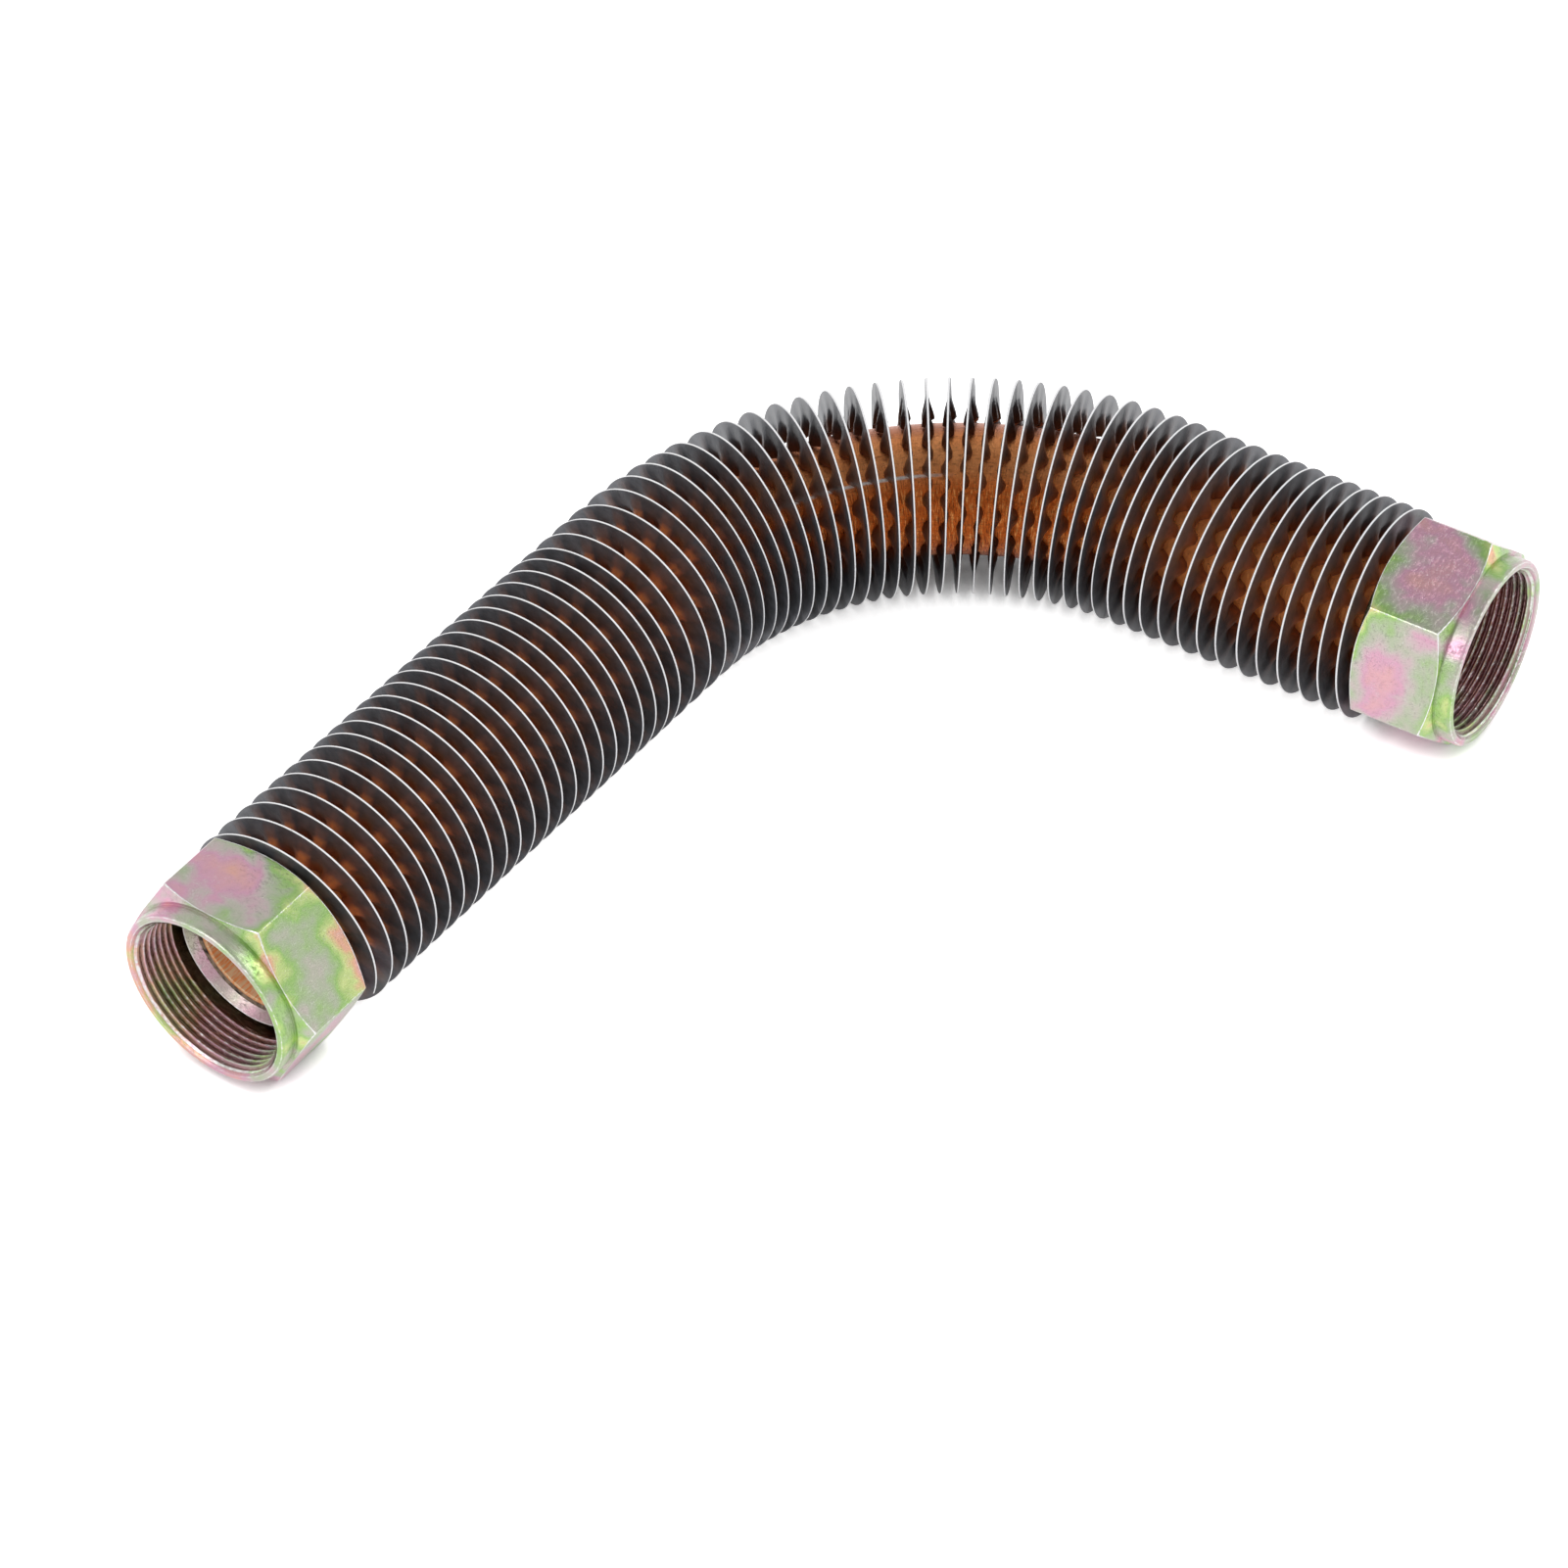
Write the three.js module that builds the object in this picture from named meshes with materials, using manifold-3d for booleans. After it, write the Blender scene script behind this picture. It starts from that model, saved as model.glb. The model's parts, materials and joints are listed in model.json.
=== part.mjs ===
// Finned discharge pipe of an air compressor. A bent copper tube carries a crimped fin strip wound
// on edge, and at each end a union nut turns freely behind a ferrule that is brazed to the tube.
// Millimetres, +Z up. The left leg runs along +X, and the bend turns right, towards -Y.
import * as THREE from "three";
import { mergeVertices } from "three/addons/utils/BufferGeometryUtils.js";
import Module from "manifold-3d";

const wasm = await Module();
wasm.setup();

const { degToRad, clamp, euclideanModulo, lerp } = THREE.MathUtils;

// Route of the centreline, measured from the rim of the left nut to the rim of the right nut
const leftLeg = 129;
const rightLeg = 73.4;
const bendRadius = 71.6;
const bendAngle = degToRad(83.4);

// Copper tube
const tubeRadius = 12.5;
const tubeWall = 1.2;
const tubeSides = 24;
const bendSteps = 18;

// Fin strip. Its pitch wanders along the pipe: each stretch ends at a share of the wound length
const finHeight = 8;
const finThickness = 0.4;
const finPitch = 4.03;
const finStretches = [
  { until: 0.07, spread: 1.141 },
  { until: 0.34, spread: 0.988 },
  { until: 0.445, spread: 1.154 },
  { until: 0.8, spread: 1 },
  { until: 0.835, spread: 0.819 },
  { until: 1, spread: 1.017 },
];
const pleatDepth = 1;
const pleatsPerTurn = 9;
const finToNut = 0.4;

// Ferrule brazed to each end of the tube. It slips through the nut's thread
const seatRise = 1.9;
const seatSlope = degToRad(42);
const seatLip = 0.3;
const lipLength = 1.5;
const flangeRise = 3;
const headLength = 4.2;
const hubWall = 1.2;
const hubLength = 3;
const ferruleSides = 32;

// Union nut for a thread of 33 mm by 1.5 mm, with a 38 mm hexagon. Depths are from its rim
const seatDepth = 11.2;
const threadToSeat = 1.4;
const threadDepth = 0.9;
const throatWidth = 1.4;
const rimWidth = 1.25;
const rimRound = 0.5;
const collarLength = 3.5;
const collarStep = 0.65;
const hexChamfer = degToRad(28);
const floorThickness = 4.8;
const nutEdgeBreak = 0.4;
const nutSides = 48;

// Fillet of brazing metal behind the ferrule
const brazeLength = 1.3;
const brazeToe = 0.3;

// Fits
const jointGap = 0.3;
const threadClearance = 0.2;
const nutPlay = 1;
const nutSag = 0.3;
const endGap = 0.3;

// How each nut happens to be turned on its leg
const leftNutTurn = degToRad(-32.4);
const rightNutTurn = degToRad(15.7);

// Worked out from the sizes above
const finRadius = tubeRadius + finHeight;
const boreInFerrule = tubeRadius + jointGap;
const seatRadius = tubeRadius + seatRise;
const flangeRadius = tubeRadius + flangeRise;
const hubRadius = tubeRadius + hubWall;
const threadRadius = flangeRadius + threadClearance;
const reliefRadius = threadRadius + threadDepth;
const mouthRadius = threadRadius + throatWidth;
const collarRadius = mouthRadius + rimWidth;
const flatRadius = collarRadius + collarStep;
const cornerRadius = flatRadius / Math.cos(Math.PI / 6);
const nutHoleRadius = hubRadius + nutPlay;
const threadLength = seatDepth - threadToSeat;
const flangeBack = seatDepth + headLength;
const hubEnd = flangeBack + hubLength;
const shoulderDepth = flangeBack + jointGap;
const nutLength = shoulderDepth + floorThickness;
const seatLength = (seatRadius - boreInFerrule) / Math.tan(seatSlope);
const tubeInset = seatDepth + seatLength + endGap;
const bendLength = bendRadius * bendAngle;
const routeLength = leftLeg + bendLength + rightLeg;
const finInset = nutLength + finToNut + pleatDepth + finThickness / 2;
const finLength = routeLength - 2 * finInset;

const materials = {
  copper: new THREE.MeshStandardMaterial({ color: 0xb8653a, roughness: 0.35, metalness: 1 }),
  fin: new THREE.MeshStandardMaterial({ color: 0x8f9093, roughness: 0.3, metalness: 1 }),
  zinc: new THREE.MeshStandardMaterial({ color: 0xc0a99c, roughness: 0.3, metalness: 1 }),
  braze: new THREE.MeshStandardMaterial({ color: 0x6b5a48, roughness: 0.5, metalness: 1 }),
};

// Centre of the pipe and its heading at distance s from the left rim
function centreAt(s) {
  const turned = clamp((s - leftLeg) / bendRadius, 0, bendAngle);
  const before = Math.min(s, leftLeg);
  const after = Math.max(s - leftLeg - bendLength, 0);
  const x = before + bendRadius * Math.sin(turned) + after * Math.cos(turned);
  const y = -bendRadius * (1 - Math.cos(turned)) - after * Math.sin(turned);
  return { point: new THREE.Vector3(x, y, 0), heading: -turned };
}

// Point at distance s, at a radius from the centreline and an angle from the top to the bend's inside
function around(s, radius, angle) {
  const { point, heading } = centreAt(s);
  const side = radius * Math.sin(angle);
  return point.add(
    new THREE.Vector3(side * Math.sin(heading), -side * Math.cos(heading), radius * Math.cos(angle)),
  );
}

// Centreline of the copper tube, with one step for each leg and even steps round the bend
class TubeRoute extends THREE.Curve {
  getUtoTmapping(u) {
    return u;
  }

  stationAt(t) {
    const step = t * (bendSteps + 2);
    if (step <= 1) return lerp(tubeInset, leftLeg, step);
    if (step >= bendSteps + 1) {
      return lerp(leftLeg + bendLength, routeLength - tubeInset, step - bendSteps - 1);
    }
    return leftLeg + (bendLength * (step - 1)) / bendSteps;
  }

  getPoint(t, target = new THREE.Vector3()) {
    return target.copy(centreAt(this.stationAt(t)).point);
  }

  getTangent(t, target = new THREE.Vector3()) {
    const { heading } = centreAt(this.stationAt(t));
    return target.set(Math.cos(heading), Math.sin(heading), 0);
  }
}

function copperTube() {
  const ring = new THREE.Shape().absarc(0, 0, tubeRadius, 0, 2 * Math.PI);
  ring.holes.push(new THREE.Path().absarc(0, 0, tubeRadius - tubeWall, 0, 2 * Math.PI));
  return new THREE.ExtrudeGeometry(ring, {
    extrudePath: new TubeRoute(),
    steps: bendSteps + 2,
    curveSegments: tubeSides / 2,
  });
}

// Place of the strip along the pipe after a number of turns
function stationOfTurn(turn) {
  let from = 0;
  let wound = 0;
  for (const { until, spread } of finStretches) {
    const pitch = finPitch * spread;
    const turns = ((until - from) * finLength) / pitch;
    if (turn <= wound + turns || until === 1) {
      return finInset + from * finLength + (turn - wound) * pitch;
    }
    wound += turns;
    from = until;
  }
}

function turnsWound() {
  let from = 0;
  let wound = 0;
  for (const { until, spread } of finStretches) {
    wound += ((until - from) * finLength) / (finPitch * spread);
    from = until;
  }
  return wound;
}

// The strip is swept as a left-handed helix. Its rim is even, and its foot folds to and fro
function finStrip() {
  const stepsPerTurn = 2 * pleatsPerTurn;
  const steps = Math.floor(turnsWound() * stepsPerTurn);
  // The foot is a polygon, so its corners stand out until the middle of each side clears the tube
  const footRadius = (tubeRadius + jointGap) / Math.cos(Math.PI / stepsPerTurn);
  const half = finThickness / 2;
  const positions = [];
  for (let i = 0; i <= steps; i++) {
    const turn = i / stepsPerTurn;
    const station = stationOfTurn(turn);
    const fold = i % 2 ? pleatDepth : -pleatDepth;
    const angle = -2 * Math.PI * turn;
    for (const [offset, radius] of [
      [-half, finRadius],
      [half, finRadius],
      [fold + half, footRadius],
      [fold - half, footRadius],
    ]) {
      positions.push(...around(station + offset, radius, angle).toArray());
    }
  }
  // Both sides of the strip fold along the same diagonals, from foot to rim, so its walls stay parallel
  const faces = [];
  for (let i = 0; i < steps; i++) {
    const a = 4 * i;
    const b = a + 4;
    faces.push(a, a + 1, b, a + 1, b + 1, b);
    faces.push(a + 1, a + 2, b + 1, a + 2, b + 2, b + 1);
    faces.push(a + 2, a + 3, b + 2, a + 3, b + 3, b + 2);
    faces.push(a + 3, a, b, a + 3, b, b + 3);
  }
  const last = 4 * steps;
  faces.push(0, 2, 1, 0, 3, 2);
  faces.push(last, last + 1, last + 2, last, last + 2, last + 3);
  const strip = new THREE.BufferGeometry();
  strip.setAttribute("position", new THREE.Float32BufferAttribute(positions, 3));
  strip.setIndex(faces);
  return strip;
}

function solidOf(geometry) {
  const bare = geometry.clone();
  bare.deleteAttribute("normal");
  bare.deleteAttribute("uv");
  const merged = mergeVertices(bare, 1e-4);
  return new wasm.Manifold(
    new wasm.Mesh({
      numProp: 3,
      vertProperties: new Float32Array(merged.attributes.position.array),
      triVerts: new Uint32Array(merged.index.array),
    }),
  );
}

function geometryOf(solid) {
  const mesh = solid.getMesh();
  const geometry = new THREE.BufferGeometry();
  geometry.setAttribute("position", new THREE.BufferAttribute(mesh.vertProperties, 3));
  geometry.setIndex(new THREE.BufferAttribute(mesh.triVerts, 1));
  geometry.computeVertexNormals();
  return geometry;
}

// Revolves [distance along +X, radius] pairs about the X axis
function turned(profile, sides) {
  const points = profile.map(([along, radius]) => new THREE.Vector2(radius, along));
  return new THREE.LatheGeometry(points, sides).rotateZ(-Math.PI / 2);
}

// Hexagonal bar along +X with a corner at the top
function hexagonBar(from, to) {
  const outline = new THREE.Shape();
  for (let k = 0; k < 6; k++) {
    const angle = (k * Math.PI) / 3;
    const [x, y] = [cornerRadius * Math.cos(angle), cornerRadius * Math.sin(angle)];
    if (k === 0) outline.moveTo(x, y);
    else outline.lineTo(x, y);
  }
  const bar = new THREE.ExtrudeGeometry(outline, { depth: to - from, bevelEnabled: false });
  return bar.rotateY(Math.PI / 2).translate(from, 0, 0);
}

// The nut, with its rim at x = 0 and its back towards +X
function unionNut() {
  const past = 1;
  const widest = cornerRadius + past;
  const slope = (widest - flatRadius) * Math.tan(hexChamfer);
  const chamfers = turned(
    [
      [collarLength, 0],
      [collarLength, flatRadius],
      [collarLength + slope, widest],
      [nutLength - slope, widest],
      [nutLength, flatRadius],
      [nutLength, 0],
    ],
    nutSides,
  );
  const collar = turned(
    [
      [0, 0],
      [0, collarRadius - rimRound],
      [rimRound * (1 - Math.SQRT1_2), collarRadius - rimRound * (1 - Math.SQRT1_2)],
      [rimRound, collarRadius],
      [collarLength + past, collarRadius],
      [collarLength + past, 0],
    ],
    nutSides,
  );
  const bore = turned(
    [
      [-past, 0],
      [-past, mouthRadius],
      [0, mouthRadius],
      [mouthRadius - threadRadius, threadRadius],
      [threadLength, threadRadius],
      [threadLength + reliefRadius - threadRadius, reliefRadius],
      [shoulderDepth, reliefRadius],
      [shoulderDepth, nutHoleRadius],
      [nutLength - nutEdgeBreak, nutHoleRadius],
      [nutLength, nutHoleRadius + nutEdgeBreak],
      [nutLength + past, nutHoleRadius + nutEdgeBreak],
      [nutLength + past, 0],
    ],
    nutSides,
  );
  const bar = solidOf(hexagonBar(collarLength - past, nutLength + past));
  return geometryOf(bar.intersect(solidOf(chamfers)).add(solidOf(collar)).subtract(solidOf(bore)));
}

// The ferrule: conical seat, flange that bears on the nut's shoulder, hub that is brazed to the tube
function ferrule() {
  const lipRadius = seatRadius + seatLip;
  return turned(
    [
      [seatDepth, seatRadius],
      [seatDepth, lipRadius],
      [seatDepth + lipLength - (flangeRadius - lipRadius), lipRadius],
      [seatDepth + lipLength, flangeRadius],
      [flangeBack, flangeRadius],
      [flangeBack, hubRadius],
      [hubEnd, hubRadius],
      [hubEnd, boreInFerrule],
      [seatDepth + seatLength, boreInFerrule],
      [seatDepth, seatRadius],
    ],
    ferruleSides,
  );
}

function brazeRing() {
  const start = hubEnd + jointGap;
  return turned(
    [
      [start, boreInFerrule],
      [start, hubRadius],
      [start + brazeLength, boreInFerrule + brazeToe],
      [start + brazeLength, boreInFerrule],
      [start, boreInFerrule],
    ],
    ferruleSides,
  );
}

// A loose nut hangs a little on its pipe, unless a corner stands on the ground that the fins lie on
function restHeight(nutTurn) {
  const fromCorner = euclideanModulo(nutTurn + Math.PI / 6, Math.PI / 3) - Math.PI / 6;
  return Math.max(-nutSag, cornerRadius * Math.cos(fromCorner) - finRadius);
}

function named(name, geometry, material) {
  const mesh = new THREE.Mesh(geometry, material);
  mesh.name = name;
  return mesh;
}

// Everything at one end, with the nut's rim at the group's origin and the pipe along its +X
function pipeEnd(side, nutTurn) {
  const end = new THREE.Group();
  const nut = named(`${side}_union_nut`, unionNut(), materials.zinc);
  nut.position.z = restHeight(nutTurn);
  nut.rotation.x = nutTurn;
  end.add(nut);
  end.add(named(`${side}_ferrule`, ferrule(), materials.zinc));
  end.add(named(`${side}_braze_ring`, brazeRing(), materials.braze));
  return end;
}

const pipe = new THREE.Group();
pipe.add(named("copper_tube", copperTube(), materials.copper));
pipe.add(named("fin_strip", finStrip(), materials.fin));

const leftEnd = pipeEnd("left", leftNutTurn);
pipe.add(leftEnd);

const rightEnd = pipeEnd("right", rightNutTurn);
const rightRim = centreAt(routeLength);
rightEnd.position.copy(rightRim.point);
rightEnd.rotation.z = rightRim.heading + Math.PI;
pipe.add(rightEnd);

// The origin lies under the middle of the pipe's box, on the ground
const box = new THREE.Box3().setFromObject(pipe, true);
const middle = box.getCenter(new THREE.Vector3());
pipe.position.set(-middle.x, -middle.y, -box.min.z);

export default pipe;
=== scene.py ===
import json
import math

import bpy
import numpy as np
from mathutils import Matrix, Vector


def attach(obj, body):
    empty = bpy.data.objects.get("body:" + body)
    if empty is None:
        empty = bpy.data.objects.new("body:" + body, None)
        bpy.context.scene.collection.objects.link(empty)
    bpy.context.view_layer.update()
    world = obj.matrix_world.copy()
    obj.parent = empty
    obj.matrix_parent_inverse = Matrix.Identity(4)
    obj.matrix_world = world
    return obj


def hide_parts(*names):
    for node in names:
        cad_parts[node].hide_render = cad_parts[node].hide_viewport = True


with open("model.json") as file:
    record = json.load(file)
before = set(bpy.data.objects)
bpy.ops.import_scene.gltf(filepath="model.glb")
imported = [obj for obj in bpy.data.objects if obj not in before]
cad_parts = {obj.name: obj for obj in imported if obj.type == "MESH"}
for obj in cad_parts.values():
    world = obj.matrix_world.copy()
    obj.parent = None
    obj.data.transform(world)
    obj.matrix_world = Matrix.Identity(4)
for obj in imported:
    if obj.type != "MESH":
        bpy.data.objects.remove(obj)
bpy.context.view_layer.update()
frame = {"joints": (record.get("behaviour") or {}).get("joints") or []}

# Camera. It looks down at the pipe from behind the left leg, a little over 45 degrees above it,
# through a long lens from 1.36 m away, and leans over by a degree.
towards_camera = Vector((-0.5501, -0.4313, 0.7151)).normalized()
camera_right = Vector((0.617, -0.78697, 0)).normalized()
camera_up = towards_camera.cross(camera_right)
camera_target = Vector((-0.0107, 0.0077, 0.0205))
camera_distance = 1.3598
camera_lean = math.radians(-1.088)
camera = bpy.data.objects.new("camera", bpy.data.cameras.new("camera"))
bpy.context.scene.collection.objects.link(camera)
camera.data.sensor_width = 36
camera.data.lens = 171.25
camera.data.clip_start = 0.05
camera.data.clip_end = 30
camera.matrix_world = (
    Matrix.Translation(camera_target + camera_distance * towards_camera)
    @ Matrix((camera_right, camera_up, towards_camera)).transposed().to_4x4()
    @ Matrix.Rotation(camera_lean, 4, "Z")
)
bpy.context.scene.camera = camera

# Copper tube. Drawn copper, 25 mm outside with a 1.2 mm wall, bent cold round a former and cut
# square. Its skin is brushed and heat-stained in patches. It is painted paler on top and brown-orange
# lower down as light and shade, with painted highlights, and its bore is painted pale as if lit.
MM = 0.001
LEFT_LEG = 129
RIGHT_LEG = 73.4
BEND_RADIUS = 71.6
BEND_ANGLE = math.radians(83.4)
BEND_LENGTH = BEND_RADIUS * BEND_ANGLE
BEND_MIDDLE = LEFT_LEG + BEND_LENGTH / 2
TUBE_RADIUS = 12.5
TUBE_BORE = 11.3
TUBE_INSET = 13.28
TUBE_EDGE_BREAK = 0.15
AXIS_HEIGHT = 20.5
BEND_SAG = 0.9
SAG_LEAD = 8
SAG_RUN = 30
left_joint, right_joint = frame["joints"]
ROUTE_START = (left_joint["pos_m"][0] / MM, left_joint["pos_m"][1] / MM)


def around_pipe(station, radius, angle, aside=0):
    """Points at a radius from the pipe's centre, in metres. Stations run in mm from the left rim, and
    the angle from the top to the inside of the bend, to which aside moves the centre."""
    turned = np.clip((station - LEFT_LEG) / BEND_RADIUS, 0, BEND_ANGLE)
    after = np.maximum(station - LEFT_LEG - BEND_LENGTH, 0)
    x = np.minimum(station, LEFT_LEG) + BEND_RADIUS * np.sin(turned) + after * np.cos(turned)
    y = -BEND_RADIUS * (1 - np.cos(turned)) - after * np.sin(turned)
    side = radius * np.sin(angle) + aside
    return MM * np.stack(
        [
            ROUTE_START[0] + x - side * np.sin(turned),
            ROUTE_START[1] + y - side * np.cos(turned),
            AXIS_HEIGHT + radius * np.cos(angle) + 0 * side,
        ],
        axis=-1,
    )


def straightened(station, radius, angle):
    """The same points on the pipe as if it were straight, in mm, for its finishes to follow."""
    flat = 0 * station + 0 * radius + 0 * angle
    return np.stack([station + flat, radius * np.cos(angle) + flat, radius * np.sin(angle) + flat], axis=-1)


def bend_sag(station):
    """How far the tube lies towards the inside of the bend, where bending it drew it through its fins."""
    into_bend = np.clip((station - LEFT_LEG + SAG_LEAD) / SAG_RUN, 0, 1)
    out_of_bend = np.clip((LEFT_LEG + BEND_LENGTH + SAG_LEAD - station) / SAG_RUN, 0, 1)
    share = into_bend * out_of_bend
    return BEND_SAG * share * share * (3 - 2 * share)


def joined(rows, columns, ring_rows=False, ring_columns=False):
    """Quads that join a grid of points; a ring closes on its first row or column."""
    row = np.arange(rows if ring_rows else rows - 1)[:, None]
    column = np.arange(columns if ring_columns else columns - 1)[None]
    below = (row + 1) % rows
    beside = (column + 1) % columns
    corners = ((row, column), (row, beside), (below, beside), (below, column))
    return np.stack([r * columns + c for r, c in corners], axis=-1).reshape(-1, 4)


def made_piece(name, points, faces, finish, marks, sharp=35):
    """A mesh object with its finish, and with marks at its points that the finish reads."""
    mesh = bpy.data.meshes.new(name)
    mesh.from_pydata(np.reshape(points, (-1, 3)).tolist(), [], faces.tolist())
    for mark, values in marks.items():
        values = np.asarray(values, np.float32).ravel()
        numbers_per_point = values.size // len(mesh.vertices)
        kind, field = {1: ("FLOAT", "value"), 3: ("FLOAT_VECTOR", "vector")}[numbers_per_point]
        mesh.attributes.new(mark, kind, "POINT").data.foreach_set(field, values)
    mesh.shade_smooth()
    mesh.set_sharp_from_angle(angle=math.radians(sharp))
    mesh.materials.append(finish.material)
    piece = bpy.data.objects.new(name, mesh)
    bpy.context.scene.collection.objects.link(piece)
    return piece


class Level:
    """A shader socket. Arithmetic on it adds Math nodes, so a mask is written as a sum."""

    def __init__(self, finish, socket):
        self.finish = finish
        self.socket = socket

    def math(self, operation, *values):
        return self.finish.node("ShaderNodeMath", {"operation": operation}, dict(enumerate(values)))

    def __add__(self, other):
        return self.math("ADD", self, other)

    __radd__ = __add__

    def __sub__(self, other):
        return self.math("SUBTRACT", self, other)

    def __rsub__(self, other):
        return self.math("SUBTRACT", other, self)

    def __mul__(self, other):
        return self.math("MULTIPLY", self, other)

    __rmul__ = __mul__

    def away_from(self, middle):
        """How far the level is from the middle, on either side of it."""
        return self.math("ABSOLUTE", self - middle)

    def rise(self, low, high):
        """How far the level is on its way from low to high, from 0 to 1."""
        values = {"Value": self, "From Min": low, "From Max": high}
        return self.finish.node("ShaderNodeMapRange", {"interpolation_type": "SMOOTHSTEP"}, values)


class Finish:
    """A material made node by node on one principled shader."""

    def __init__(self, name):
        self.material = bpy.data.materials.new(name)
        self.material.use_nodes = True
        self.tree = self.material.node_tree
        self.shader = next(n for n in self.tree.nodes if n.type == "BSDF_PRINCIPLED")

    def join(self, socket, value):
        if isinstance(value, Level):
            self.tree.links.new(value.socket, socket)
        else:
            socket.default_value = value

    def node(self, kind, settings, values, output=0):
        """Adds a node, sets it up, and sets or links its sockets. Gives one of its outputs."""
        made = self.tree.nodes.new(kind)
        for name, value in settings.items():
            if name == "stops":
                while len(made.color_ramp.elements) < len(value):
                    made.color_ramp.elements.new(1)
                for element, (position, colour) in zip(made.color_ramp.elements, value):
                    element.position = position
                    element.color = (*colour, 1)
            else:
                setattr(made, name, value)
        for name, value in values.items():
            self.join(made.inputs[name], value)
        return Level(self, made.outputs[output])

    def mark(self, name, output=2):
        """What the mesh's points are marked with: a number, or a place from output 1."""
        return self.node("ShaderNodeAttribute", {"attribute_name": name}, {}, output)

    def stretched(self, place, factors):
        return self.node("ShaderNodeVectorMath", {"operation": "MULTIPLY"}, {0: place, 1: factors})

    def split(self, place, axis):
        return self.node("ShaderNodeSeparateXYZ", {}, {0: place}, axis)

    def noise(self, place, scale, detail=3, roughness=0.5, distortion=0):
        values = {"Vector": place, "Scale": scale, "Detail": detail, "Roughness": roughness}
        return self.node("ShaderNodeTexNoise", {}, {**values, "Distortion": distortion})

    def mixed(self, share, under, over):
        """One colour under another, which covers it by its share."""
        under, over = (c if isinstance(c, Level) else (*c, 1) for c in (under, over))
        return self.node("ShaderNodeMix", {"data_type": "RGBA"}, {0: share, 6: under, 7: over}, 2)

    def wear(self, **sockets):
        """Sets or links the shader's sockets, named with underscores for their spaces."""
        for name, value in sockets.items():
            self.join(self.shader.inputs[name.replace("_", " ")], value)

    def relief(self, height, distance):
        """Raises the surface by its height, up to a distance in metres."""
        values = {"Height": height, "Distance": distance, "Strength": 1}
        self.join(self.shader.inputs["Normal"], self.node("ShaderNodeBump", {}, values))


copper = Finish("copper")
copper_place = copper.mark("place", 1)
copper_along = copper.split(copper_place, 0)
copper_up = copper.split(copper_place, 1)
copper_inward = copper.split(copper_place, 2)
copper_bore = copper.mark("bore")
copper_patches = copper.noise(copper_place, 0.16, 4, 0.6)
copper_fine = copper.noise(copper.stretched(copper_place, (0.35, 1, 1)), 1.6, 4, 0.65)
copper_strokes = copper.noise(copper.stretched(copper_place, (1, 0.14, 0.14)), 3.2, 4, 0.7)
# Lower down and towards the inside of the bend the copper is painted darker brown-orange: painted shade
copper_underside_shade = (copper_inward - copper_up + 2.5 * copper_patches).rise(-6, 3)
# A darker reddish-brown band along the very top is painted shade
copper_top_shade = (copper_up - 0.6 * copper_inward + 1.5 * copper_patches).rise(13.2, 15.6)
copper_stain = (0.7 * copper_fine + 0.3 * copper_strokes).rise(0.5, 0.66)
copper_skin = copper.mixed(copper_patches.rise(0.35, 0.7), (0.86, 0.31, 0.105), (1.0, 0.41, 0.155))
copper_skin = copper.mixed(copper_underside_shade, copper_skin, (0.62, 0.13, 0.022))
# In the painted shade lower down lie dark brush scores and painted highlight streaks
copper_scores_and_shade = copper_underside_shade * (1 - copper_strokes.rise(0.36, 0.46))
copper_skin = copper.mixed(copper_underside_shade * copper_strokes.rise(0.52, 0.64), copper_skin, (1.0, 0.42, 0.13))
copper_skin = copper.mixed(0.8 * copper_scores_and_shade, copper_skin, (0.16, 0.045, 0.015))
copper_skin = copper.mixed(0.8 * copper_top_shade, copper_skin, (0.40, 0.13, 0.08))
copper_skin = copper.mixed(0.6 * copper_stain, copper_skin, (0.20, 0.06, 0.02))
copper_clean = copper_along.away_from(BEND_MIDDLE).rise(40, 60)
copper_skin = copper.mixed(0.8 * copper_clean, copper_skin, (0.90, 0.31, 0.08))
# A pale line runs along the bend, on top and towards its inside
copper_pale_line = (1 - copper_inward.away_from(7.1).rise(0.05, 0.42)) * copper_up.rise(0, 1)
copper_pale_line = copper_pale_line * copper_along.rise(148, 158) * (1 - copper_along.rise(184, 196))
copper_skin = copper.mixed(copper_pale_line * copper_fine.rise(0.2, 0.5), copper_skin, (1.0, 0.92, 0.87))
# The bore is painted pale orange, a painted light for what enters its mouth; its streaks run along it
copper_lines = copper.noise(copper.stretched(copper_place, (0.12, 1, 1)), 2.2, 3, 0.6)
copper_bore_painted_light = copper.mixed(copper_lines.rise(0.38, 0.62), (1.0, 0.40, 0.14), (1.0, 0.74, 0.46))
copper_skin = copper.mixed(copper_bore, copper_skin, copper_bore_painted_light)
copper.wear(
    Base_Color=copper_skin,
    Metallic=1 - 0.8 * copper_bore - 0.6 * copper_pale_line - 0.5 * copper_clean,
    Roughness=0.2 + 0.2 * copper_fine + 0.2 * copper_bore,
)
copper.relief(copper_strokes + copper_fine, 0.00009)

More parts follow.
